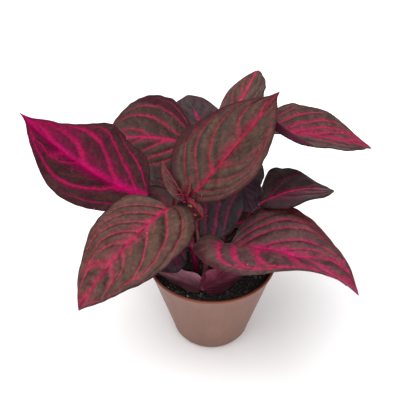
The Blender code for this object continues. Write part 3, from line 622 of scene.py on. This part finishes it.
def leafSheet(name, leaf):
    # the blade as a sheet of quads, which carries its veins as maps for the skin
    cellsAlong, cellsAcross = [int(np.clip(leaf[size] / blade["cellSize"], *blade[limits]))
                               for size, limits in (("length", "cellsAlong"), ("width", "cellsAcross"))]
    cellsAcross = cellsAcross // 2 * 2
    crowded = (1 - np.cos(np.linspace(0, np.pi, cellsAlong + 1))) / 2  # at base and tip
    along = blade["crowding"] * crowded + (1 - blade["crowding"]) * np.linspace(0, 1, cellsAlong + 1)
    along = np.clip(along, 0.0002, 0.9998)
    side = np.linspace(-1, 1, cellsAcross + 1)
    across = np.sign(side) * np.abs(side) ** 1.15
    along, across = np.meshgrid(along, across, indexing="ij")
    isLeft = across < 0
    distance = np.abs(across)

    halves = partial(np.where, isLeft)  # takes the value on the left and the one on the right

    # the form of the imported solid, with what its outline has besides
    place, _, right, upper = leafFrame(leaf, along - halves(*leaf["lobe"]) * (1 - along) ** 4 * across**2)
    profile = halfWidth(leaf, along)
    notches = [[noise.noise(Vector((u * leaf["length"] / blade["notchSize"], row + leaf["heading"], 0)))
                for row in (0, 40)] for u in along[:, 0]]
    notches = halves(*np.array(notches).T[:, :, None])
    share = halves(*leaf["halves"]) * (1 - halves(0, leaf["taper"]) * smoothstep(along, *blade["taperRun"]))
    hollow = np.exp(-((along - blade["hollowAt"]) / blade["hollowReach"]) ** 2)
    share = share * (1 - halves(0, leaf["hollow"]) * hollow)
    share = share * (1 - leaf["dripTip"] * smoothstep(along, *blade["tipRun"]))
    span = leaf["width"] / 2 * profile * share + leaf["ragged"] * notches * np.minimum(1, 3 * profile)
    span = np.maximum(span + halves(0, leaf["full"]) * (1 - along) ** 8, 0.01)
    # a margin that stands up is a further strip beyond the edge
    upright, until, leaning = leaf["turned"]
    strip = upright * np.clip(1 - along / until, 0, 1) ** 0.55 * smoothstep(along, *blade["stripRun"])
    strip = halves(0, strip)
    beyond = np.maximum(distance * (span + strip) - span, 0)
    distance = np.minimum(distance * (span + strip) / span, 1)
    across = np.sign(across) * distance
    reach = distance * span
    fold = np.radians(halves(*leaf["fold"]))
    bend = np.radians(halves(*leaf["curl"])) / (leaf["width"] / 2)
    bend = np.where(np.abs(bend) < 1e-5, 1e-5, bend)
    sideways = (np.sin(fold) - np.sin(fold - bend * reach)) / bend
    height = (np.cos(fold - bend * reach) - np.cos(fold)) / bend
    ripple = np.sin(2 * np.pi * (leaf["waves"] * along + leaf["phase"] + halves(0.5, 0)))
    height += leaf["wave"] * across**2 * profile * ripple
    arched = np.sin(leaf["liftArch"] * distance) / leaf["liftArch"]
    height += halves(0, leaf["lift"]) * (1 - along) ** 5 * arched
    leaning = np.radians(leaning) * smoothstep(beyond, 0.0, blade["stripBend"]) + fold - bend * span
    sideways, height = sideways + beyond * np.cos(leaning), height + beyond * np.sin(leaning)
    points = place + right * (np.sign(across) * sideways)[..., None] + upper * height[..., None]

    # finer relief: the skin swells between its veins and sinks along the midrib
    courses = [veinPhase(leaf[veins], along, distance) for veins in ("veinsLeft", "veinsRight")]
    phase, run, broad = [halves(*pair) for pair in zip(*courses)]
    swell = np.abs(np.sin(np.pi * phase)) ** 0.6
    inner = np.clip(reach / blade["reliefFade"], 0, 1) * np.clip((1 - distance) * 5, 0, 1)
    relief = leaf["quilt"] * (swell - 0.5) * inner
    relief = relief - blade["troughDepth"] * np.exp(-(reach / blade["troughHalf"]) ** 2)
    lumpAt = np.stack([reach * np.sign(across), along * leaf["length"]], -1) / blade["lumpSize"]
    lumps = [noise.noise(Vector((*point, 0.0))) for point in lumpAt.reshape(-1, 2)]
    relief += blade["lumpHeight"] * np.array(lumps).reshape(along.shape) * inner
    normal = np.cross(np.gradient(points, axis=0), np.gradient(points, axis=1))
    normal /= np.maximum(np.linalg.norm(normal, axis=-1, keepdims=True), 1e-9)
    normal *= np.sign((normal * upper).sum(-1, keepdims=True))
    points = points + normal * relief[..., None]

    rows, columns = along.shape
    index = np.arange(rows * columns).reshape(rows, columns)
    quads = np.stack([index[:-1, 1:], index[1:, 1:], index[1:, :-1], index[:-1, :-1]], -1)
    leftQuads = np.broadcast_to((np.arange(columns - 1) < cellsAcross // 2)[None, :, None], quads.shape)
    mesh = bpy.data.meshes.new(name)
    mesh.from_pydata(points.reshape(-1, 3) * mm, [], quads.reshape(-1, 4))
    corners = quads.reshape(-1)

    # veinMap: count of veins, count per mm and half a vein's breadth, from the half that the
    # quad lies in, because the two counts differ along the midrib
    fade = np.clip((1 - distance) * span / blade["veinFade"], 0.15, 1)
    ran = (1 - smoothstep(run, *leaf["veinRun"])) * (1 - 0.8 * smoothstep(distance, *blade["veinStop"]))
    thinned = broad * (1 - blade["thinAcross"] * distance) * (1 - blade["thinAlong"] * along)
    veinHalf = leaf["veinWidth"] / 2 * thinned * fade * ran + 0.02
    stepAlong, stepAcross = spacing(points, 0), spacing(points, 1)
    veinMaps = []
    for count, *_ in courses:
        perMm = np.hypot(np.gradient(count, axis=0) / stepAlong, np.gradient(count, axis=1) / stepAcross)
        veinMap = np.stack([count, np.clip(perMm, 0.02, 3.0), veinHalf], -1)
        veinMaps.append(veinMap.reshape(-1, 3)[corners])
    # leafMap: mm across, along, and in from the margin
    band = halves(*leaf["band"]) * np.exp(-((along - leaf["bandAt"]) / blade["bandReach"]) ** 2)
    leafMap = np.stack([reach * np.sign(across), along * leaf["length"], (1 - distance) * span - band], -1)
    # ribMap: half the midrib's breadth, the reach of the flush beside it, the bias of the bleed
    ribKept = 1 - smoothstep(along, *leaf["ribRun"])
    ribHalf = leaf["ribWidth"] / 2 * (1 - blade["ribThin"] * along) * ribKept + 0.01
    flushReach = leaf["flush"] * halves(*leaf["flushSides"]) * np.minimum(1, 4 * profile)
    flushReach = flushReach * (0.35 + 1.2 * np.sin(np.pi * along**0.8) ** 2) * ribKept + 0.01
    atBase, atTip = leaf["bias"]
    toTip = smoothstep(along, *leaf["biasRun"]) if leaf["biasRun"] else along
    bias = atBase + (atTip - atBase) * toTip + halves(0, leaf["biasMore"])
    ribMap = np.stack([ribHalf, flushReach, bias], -1)
    for label, values in (("veinMap", np.where(leftQuads.reshape(-1, 1), *veinMaps)),
                          ("leafMap", leafMap.reshape(-1, 3)[corners]),
                          ("ribMap", ribMap.reshape(-1, 3)[corners])):
        mesh.attributes.new(label, "FLOAT_VECTOR", "CORNER").data.foreach_set("vector", values.reshape(-1))
    return mesh


def petiolePath(leaf, stem):
    # out of the stem's skin to the base of the blade, then along under the midrib
    axis = stemPath(stem, 4)
    nearest = int(np.argmin(np.abs(axis[:, 2] - leaf["node"])))
    tangent = axis[min(nearest + 1, len(axis) - 1)] - axis[nearest - 1]
    tangent /= np.linalg.norm(tangent)
    base, ahead, _, upper = leafFrame(leaf, np.array([0.0]))
    out = base[0] - axis[nearest]
    out -= tangent * out.dot(tangent)
    out /= np.linalg.norm(out)
    radius = petiole["radius"]
    start = axis[nearest] + out * (stemRadii(stem, axis)[nearest] - petiole["sunk"])
    outer = start + out * (radius + petiole["standOff"])
    end = base[0] - upper[0] * radius * leaf["under"]
    pull = np.linalg.norm(end - outer) / 3
    corners = [outer, outer + out * pull, end - ahead[0] * pull, end]
    t = np.linspace(0, 1, petiole["steps"])[:, None]
    run = ((1 - t) ** 3 * corners[0] + 3 * (1 - t) ** 2 * t * corners[1]
           + 3 * (1 - t) * t**2 * corners[2] + t**3 * corners[3])
    shares = np.linspace(0, petiole["ribReach"], petiole["ribSteps"])[1:]
    ribRadii = radius + (petiole["ribEnd"] - radius) * (shares / petiole["ribReach"]) ** 0.6
    place, _, _, upper = leafFrame(leaf, shares)
    rib = place - upper * (ribRadii + petiole["ribSunk"])[:, None] * leaf["under"]
    flare = 1 + petiole["flare"] * np.exp(-np.linspace(0, petiole["flareRun"], len(run)))
    radii = np.concatenate([[radius * petiole["jointFlare"]], radius * flare, ribRadii])
    return np.vstack([start, run, rib]), radii


def growBlade(name, leaf, skin, underside):
    obj = newObject(name, leafSheet(name, leaf), skin, underside)
    solidify = obj.modifiers.new("thickness", "SOLIDIFY")
    solidify.thickness = blade["thickness"] * mm
    solidify.offset = 0.0
    solidify.material_offset = 1
    solidify.material_offset_rim = 0
    plainMesh(obj).shade_smooth()
    return obj


petioleSkin = stemSkin("petiole skin", "#700E34", "#4C0E28", "#3E1A1E")
seedStep = 3.7
for number, (name, shape) in enumerate(leaves.items()):
    leaf = {**leafDefaults, **shape}
    skin = leafSkin(f"{name} skin", leaf, number * seedStep)
    underside = leafUnderside(f"{name} underside", leaf, number * seedStep)
    grown = growBlade(f"{name}_blade", leaf, skin, underside)
    stalk = tubeAlong(f"{name}_petiole", *petiolePath(leaf, stems[leaf["stem"]]), petioleSkin)
    piece = joined(f"{name}_veined", [grown, stalk])
    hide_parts(name)
    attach(piece, "root")
print("leaves grown:", len(leaves))


# ---- stems with their young leaves

young = {
    "stem_main": [
        dict(base=(-17.5, -6, 121.5), heading=150, rise=57, droop=4, roll=-66, length=30, width=16,
             fold=(5, 80), curl=(30, 25)),
        dict(base=(-16.5, -7.5, 122.5), heading=326, rise=8, droop=100, length=18, width=5.5, fold=(40, 40)),
        dict(base=(-18, -6, 123), heading=60, rise=60, droop=0, length=14, width=8, fold=(45, 45)),
        dict(base=(-18, -6, 124), heading=230, rise=45, droop=10, length=11, width=7, fold=(40, 40)),
        dict(base=(-17.5, -6.5, 117), heading=305, rise=40, droop=20, length=8.5, width=4.4, bud=True),
        dict(base=(-16.8, -6.9, 108), heading=325, rise=48, length=9.5, width=3.8, bud=True),
        dict(base=(-17.8, -6.5, 122), heading=285, rise=70, droop=30, length=9, width=3, fold=(45, 45)),
        dict(base=(-18.3, -6, 122), heading=190, rise=72, droop=20, length=13, width=3.4, fold=(45, 45)),
    ],
    "stem_side": [
        dict(base=(-11, -4, 103), heading=330, rise=50, droop=20, length=12, width=8),
        dict(base=(-11, -4, 103), heading=100, rise=50, droop=20, length=10, width=7),
    ],
    "stem_back": [
        dict(base=(6, 46, 123), rise=75, droop=10, length=12, width=8),
        dict(base=(6, 46, 123), heading=180, rise=75, droop=10, length=11, width=7),
    ],
}
youngLook = dict(
    wave=0.0, quilt=0.15, ragged=0.2, veinWidth=0.7, ribWidth=1.3, flush=1.5, marginWidth=0.9,
    lamina="#5E4A42", shade="#4C3A34", margin="#8A2236", vein="#7A2034", rib="#A41C3C", glow="#6A1E30",
    below="#7A1834")
budLook = dict(lamina="#86803A", shade="#7A6A34", margin="#7A3040", vein="#8E8A46", rib="#9A9250",
               glow="#7E6238")
stemFinish = {
    "stem_main": stemSkin("main stem skin", "#780A3A", "#560828", "#4A1A22"),
    "stem_side": stemSkin("side stem skin", "#74182E", "#5A1424", "#5A2A20"),
    "stem_back": stemSkin("back stem skin", "#5E1230", "#440E24", "#3C1A1C"),
}
joint = dict(swelling=0.14, reach=2.2)  # a stem swells where a petiole leaves it
youngLeaf = {**leafDefaults, **youngLook}
youngSkin = leafSkin("young leaf skin", youngLeaf, 71.0)
youngUnderside = leafUnderside("young leaf underside", youngLeaf, 71.0)
budSkin = leafSkin("opening bud skin", {**youngLeaf, **budLook}, 73.0)
for name, stem in stems.items():
    path = stemPath(stem, 14)
    radii = stemRadii(stem, path)
    for leaf in leaves.values():
        if leaf["stem"] == name:
            nearness = np.exp(-((path[:, 2] - leaf["node"]) / joint["reach"]) ** 2)
            radii = radii * (1 + joint["swelling"] * nearness)
    tube = tubeAlong(f"{name}_tube", path, radii, stemFinish[name], sides=20, ridge=0.05)
    tips = [growBlade(f"{name}_young_{number}", {**youngLeaf, **shape},
                      budSkin if "bud" in shape else youngSkin, youngUnderside)
            for number, shape in enumerate(young[name])]
    piece = joined(f"{name}_grown", [tube, *tips])
    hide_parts(name)
    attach(piece, "root")
print("stems grown:", len(stems))


# ---- pot

pot = dict(
    rimRadius=45.0, height=66.6, lipWidth=1.7, lipHeight=1.3, lipStep=0.25, lipRound=0.45,
    lipColour=(1.6, 0.9),  # the warm lip starts and is full this far below the rim
    wall=1.0, floor=1.6, heelRadius=27.5, heelHeight=5.5, heelRound=3.0, heelInset=0.4, footRadius=24.0,
    footRound=0.9, flareRadius=41.6, flareHeight=56.0, steps=144, smoothUnder=35,
    drainHoles=5, drainRadius=3.0, drainCircle=15.0, drainSides=32)


def pottedPlastic():
    # Moulded polypropylene, filled with clay-red pigment: a soft satin that looks dusty on the
    # wall, where handling has greyed it, and stays warm and clean on the lip.
    material, shader, add = newMaterial("moulded polypropylene", {"Roughness": 0.48, "IOR": 1.49})
    place = add("TexCoord").outputs["Object"]
    height = add("SeparateXYZ", place).outputs[2]
    dust = add("TexNoise", {"Vector": place, "Scale": 60.0, "Detail": 5.0})
    drawn = add("VectorMath", place, (1.0, 1.0, 0.12), operation="MULTIPLY")
    flow = add("TexNoise", {"Vector": drawn, "Scale": 300.0, "Detail": 3.0})
    dusty, streaks, gloss = [
        add("MapRange", field, 0.3, 0.7, least, most)
        for field, least, most in ((dust, 0.0, 1.0), (flow, 0.94, 1.05), (dust, 0.42, 0.58))]
    lipFrom, lipTo = [(pot["height"] - down) * mm for down in pot["lipColour"]]
    lip = add("MapRange", height, lipFrom, lipTo, interpolation_type="SMOOTHSTEP")
    colour = add("Mix", {0: dusty, 6: linear("#6B483C"), 7: linear("#7A5649")}, data_type="RGBA")
    colour = add("Mix", {0: 1.0, 6: colour, 7: streaks}, data_type="RGBA", blend_type="MULTIPLY")
    colour = add("Mix", {0: lip, 6: colour, 7: linear("#7A3C26")}, data_type="RGBA")
    material.node_tree.links.new(gloss.outputs[0], shader.inputs["Roughness"])
    finishSkin(shader, colour, flow, 0.12, 0.2)
    return material


def arc(centre, radius, start, end, steps):
    turns = np.radians(np.linspace(start, end, steps))
    return [(centre[0] + radius * math.cos(t), centre[1] + radius * math.sin(t)) for t in turns]


def potProfile():
    lipFoot, wall = pot["height"] - pot["lipHeight"], pot["wall"]
    rim, inside = pot["rimRadius"], pot["rimRadius"] - pot["lipWidth"]
    edge, heel, foot = pot["lipRound"], pot["heelRound"], pot["footRound"]
    outer = [
        *arc((rim - edge, pot["height"] - edge), edge, 90, 0, 6),
        (rim, lipFoot + 0.2), (rim - pot["lipStep"], lipFoot - 0.2),
        (pot["flareRadius"], pot["flareHeight"]),
        *arc((pot["heelRadius"] - heel, pot["heelHeight"]), heel, 4, -58, 8),
        *arc((pot["footRadius"], foot), foot, 0, -90, 5), (0.0, 0.0),
    ]
    inner = [
        (0.0, pot["floor"]), (pot["footRadius"] - wall, pot["floor"]),
        (pot["heelRadius"] - wall - pot["heelInset"], pot["heelHeight"]),
        (pot["flareRadius"] - wall, pot["flareHeight"]),
        (inside, lipFoot), *arc((inside + edge, pot["height"] - edge), edge, 180, 90, 6),
    ]
    return outer + inner


def turnPot():
    bm = bmesh.new()
    corners = [bm.verts.new((r * mm, 0, z * mm)) for r, z in potProfile()]
    for a, b in zip(corners, corners[1:] + corners[:1]):
        if a.co.x > 0 or b.co.x > 0:
            bm.edges.new((a, b))
    mesh = bpy.data.meshes.new("pot")
    bm.to_mesh(mesh)
    bm.free()
    obj = newObject("pot_turned", mesh)
    screw = obj.modifiers.new("turned", "SCREW")
    screw.steps = screw.render_steps = pot["steps"]
    screw.use_merge_vertices = True
    screw.merge_threshold = 1e-6
    cutters = []
    for number in range(pot["drainHoles"]):
        angle = 2 * math.pi * number / pot["drainHoles"]
        bm = bmesh.new()
        bmesh.ops.create_cone(bm, cap_ends=True, segments=pot["drainSides"], radius1=pot["drainRadius"] * mm,
                              radius2=pot["drainRadius"] * mm, depth=3 * pot["floor"] * mm)
        x, y = pot["drainCircle"] * math.cos(angle), pot["drainCircle"] * math.sin(angle)
        bmesh.ops.translate(bm, verts=bm.verts, vec=Vector((x, y, pot["floor"] / 2)) * mm)
        cutter = newObject(f"drain_{number}", bpy.data.meshes.new("drain"))
        bm.to_mesh(cutter.data)
        bm.free()
        boolean = obj.modifiers.new("drain", "BOOLEAN")
        boolean.object = cutter
        cutters.append(cutter)
    plainMesh(obj)
    for cutter in cutters:
        bpy.data.objects.remove(cutter)
    bm = bmesh.new()
    bm.from_mesh(obj.data)
    bmesh.ops.recalc_face_normals(bm, faces=bm.faces)
    bm.to_mesh(obj.data)
    bm.free()
    obj.data.materials.append(pottedPlastic())
    obj.data.shade_smooth()
    obj.data.set_sharp_from_angle(angle=math.radians(pot["smoothUnder"]))
    return obj


piece = turnPot()
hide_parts("pot")
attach(piece, "root")
print("pot turned")


# ---- peat

peat = dict(relief=0.9, lump=6.0, edge=4.0, sunk=0.4, gap=0.35, floorGap=0.3, rings=56, spokes=150)
# each kind that lies on it: number per square metre, size, longest against that, seed and skin
peatGrains = {
    "peat_crumbs": (260000, 1.15, 1.2, 3, ("peat crumb", "#1C1917", "#4A453E", 0.85)),
    "bark_bits": (40000, 1.2, 3.2, 7, ("composted bark", "#3A332C", "#6C665A", 0.8)),
    "perlite_grains": (5000, 0.8, 1.2, 11, ("expanded perlite", "#B8B2AC", "#D8D4CE", 0.7)),
}


def innerRadius(height):
    heights = [pot["floor"], pot["heelHeight"], pot["flareHeight"], pot["height"] - pot["lipHeight"]]
    radii = [pot["footRadius"] - pot["wall"], pot["heelRadius"] - pot["wall"] - pot["heelInset"],
             pot["flareRadius"] - pot["wall"], pot["rimRadius"] - pot["lipWidth"]]
    return float(np.interp(height, heights, radii))


def peatHeight(x, y):
    place = Vector((x, y, 0)) / peat["lump"]
    lumps = noise.noise(place) + 0.5 * noise.noise(2 * place)
    edge = min(max((innerRadius(soilTop) - math.hypot(x, y)) / peat["edge"], 0.0), 1.0)
    grains = 0.5 * noise.noise(6 * place) + 0.35 * noise.noise(14 * place)
    return soilTop - peat["sunk"] + peat["relief"] * lumps * edge + grains


def peatSkin(name, dark, pale, roughness):
    # Moist sphagnum peat with bark fines: matt and almost black, greyer where a crumb has dried.
    # Bark and perlite have the same grain in their own colours.
    material, shader, add = newMaterial(name, {"Roughness": roughness, "IOR": 1.4})
    place = add("TexCoord").outputs["Object"]
    grain = add("TexNoise", {"Vector": place, "Scale": 700.0, "Detail": 5.0})
    dry = add("MapRange", grain, 0.48, 0.66)
    colour = add("Mix", {0: dry, 6: linear(dark), 7: linear(pale)}, data_type="RGBA")
    finishSkin(shader, colour, grain, 0.8, 0.5)
    return material


def peatBody():
    bm = bmesh.new()
    top = innerRadius(soilTop) - peat["gap"]
    centre = bm.verts.new(Vector((0, 0, peatHeight(0, 0))) * mm)
    rings = []
    levels = [(top * (k + 1) / peat["rings"], None) for k in range(peat["rings"])]
    levels += [(innerRadius(z) - peat["gap"], z)
               for z in (pot["flareHeight"], pot["heelHeight"], pot["floor"] + peat["floorGap"])]
    for radius, height in levels:
        ring = []
        for k in range(peat["spokes"]):
            turn = 2 * math.pi * k / peat["spokes"]
            x, y = radius * math.cos(turn), radius * math.sin(turn)
            ring.append(bm.verts.new(Vector((x, y, peatHeight(x, y) if height is None else height)) * mm))
        rings.append(ring)
    for k in range(peat["spokes"]):
        after = (k + 1) % peat["spokes"]
        bm.faces.new((centre, rings[0][k], rings[0][after]))
        for inner, outer in zip(rings, rings[1:]):
            bm.faces.new((inner[k], outer[k], outer[after], inner[after]))
    bm.faces.new(reversed(rings[-1]))
    mesh = bpy.data.meshes.new("peat")
    bm.to_mesh(mesh)
    bm.free()
    mesh.shade_smooth()
    return newObject("peat_body", mesh, peatSkin("moist peat", "#15110F", "#2E2824", 0.9))


def scatterTree():
    # crumbs strewn over the faces that look up, each turned and sized at random
    tree, add, given, keys = newTree("strewn crumbs", {
        "Ground": "Geometry", "Crumbs per m2": "Float", "Crumb size": "Float", "Length": "Float",
        "Reach": "Float", "Seed": "Int", "Skin": "Material"}, "Crumbs")
    seed, size = given["Seed"], given["Crumb size"]
    facing = add("ShaderNodeSeparateXYZ", add("GeometryNodeInputNormal"))
    level = add("FunctionNodeCompare", facing.outputs[2], 0.5, operation="GREATER_THAN")
    # and none so near the wall that it would come through it
    fromAxis = add("ShaderNodeVectorMath", add("GeometryNodeInputPosition"), (1, 1, 0),
                   operation="MULTIPLY")
    fromAxis = add("ShaderNodeVectorMath", fromAxis, operation="LENGTH")
    within = add("FunctionNodeCompare", fromAxis.outputs["Value"], given["Reach"],
                 operation="LESS_THAN")
    level = add("FunctionNodeBooleanMath", level, within, operation="AND")
    points = add("GeometryNodeDistributePointsOnFaces", {
        "Mesh": given["Ground"], "Selection": level, "Density": given["Crumbs per m2"], "Seed": seed})
    stone = add("GeometryNodeMeshIcoSphere", {"Radius": 1.0, "Subdivisions": 1})
    turn = add("FunctionNodeRandomValue", {"Max": (6.28, 6.28, 6.28), "Seed": seed}, data_type="FLOAT_VECTOR")
    least = add("ShaderNodeCombineXYZ", 0.35, 0.35, 0.3)
    most = add("ShaderNodeCombineXYZ", given["Length"], 1.1, 0.9)
    scale = add("FunctionNodeRandomValue", {0: least, 1: most, "Seed": seed}, data_type="FLOAT_VECTOR")
    scale = add("ShaderNodeVectorMath", {0: scale, "Scale": size}, operation="SCALE")
    crumbs = add("GeometryNodeInstanceOnPoints", {
        "Points": points.outputs["Points"], "Instance": stone, "Rotation": turn, "Scale": scale})
    crumbs = add("GeometryNodeRealizeInstances", {"Geometry": crumbs})
    shake = add("ShaderNodeTexNoise", {"Scale": 900.0}).outputs["Color"]
    shake = add("ShaderNodeVectorMath", shake, (0.5, 0.5, 0.5), operation="SUBTRACT")
    shake = add("ShaderNodeVectorMath", {0: shake, "Scale": size}, operation="SCALE")
    crumbs = add("GeometryNodeSetPosition", {"Geometry": crumbs, "Offset": shake})
    crumbs = add("GeometryNodeSetShadeSmooth", {"Geometry": crumbs, "Shade Smooth": False})
    crumbs = add("GeometryNodeSetMaterial", {"Geometry": crumbs, "Material": given["Skin"]})
    add("NodeGroupOutput", {"Crumbs": crumbs})
    return tree, keys


crumbNodes = scatterTree()


def strewn(name, ground, perSquareMetre, size, length, seed, skin):
    reach = innerRadius(soilTop) - size * length
    return runTree(newObject(name, ground.data.copy()), *crumbNodes, {
        "Crumbs per m2": float(perSquareMetre), "Crumb size": size * mm, "Length": length,
        "Reach": reach * mm, "Seed": seed, "Skin": peatSkin(*skin)})


ground = peatBody()
peatPieces = [ground, *[strewn(name, ground, *grains) for name, grains in peatGrains.items()]]
for piece in peatPieces:
    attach(piece, "root")
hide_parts("soil")
print("peat filled in")


# ---- stage, light and camera

stage = dict(floorSize=6000.0, target=(-8.15, 0.0, 116.75), distance=500.0, elevation=38.0,
             focalShare=759.55 / 400, sensor=36.0, worldLight=0.75)
lights = {  # place and size in metres, and power in watts
    "overhead softbox": dict(place=(-0.5, -0.1, 2.2), size=3.2, power=64.0),
    "front softbox": dict(place=(0.3, -1.6, 1.0), size=1.4, power=9.0),
}
lightTarget = (0, 0, 0.1)


def paleFloor():
    # Board under matt white paint: no gloss and no grain, so that only the soft shadow shows.
    material, *_ = newMaterial("matt painted board", {"Roughness": 0.9, "Base Color": linear("#F7F7F7")})
    half = stage["floorSize"] / 2 * mm
    corners = [(-half, -half, 0), (half, -half, 0), (half, half, 0), (-half, half, 0)]
    mesh = bpy.data.meshes.new("floor")
    mesh.from_pydata(corners, [], [(0, 1, 2, 3)])
    return newObject("floor", mesh, material)


def addLight(name, place, size, power):
    light = bpy.data.lights.new(name, "AREA")
    light.shape = "DISK"
    light.size = size
    light.energy = power
    obj = newObject(name, light)
    obj.location = place
    obj.rotation_euler = (Vector(lightTarget) - Vector(place)).to_track_quat("-Z", "Y").to_euler()


paleFloor()
for name, light in lights.items():
    addLight(name, **light)
world = bpy.data.worlds.new("white room")
world.use_nodes = True
world.node_tree.nodes["Background"].inputs["Color"].default_value = (1, 1, 1, 1)
world.node_tree.nodes["Background"].inputs["Strength"].default_value = stage["worldLight"]
bpy.context.scene.world = world

camera = bpy.data.cameras.new("camera")
camera.sensor_width = stage["sensor"]
camera.lens = stage["focalShare"] * stage["sensor"]
cameraObject = newObject("camera", camera)
tilt = math.radians(stage["elevation"])
toCamera = Vector((0, -math.cos(tilt), math.sin(tilt)))
cameraObject.location = Vector(stage["target"]) * mm + toCamera * stage["distance"] * mm
cameraObject.rotation_euler = toCamera.to_track_quat("Z", "Y").to_euler()
bpy.context.scene.camera = cameraObject
bpy.context.scene.view_settings.view_transform = "Standard"

print("stage set")
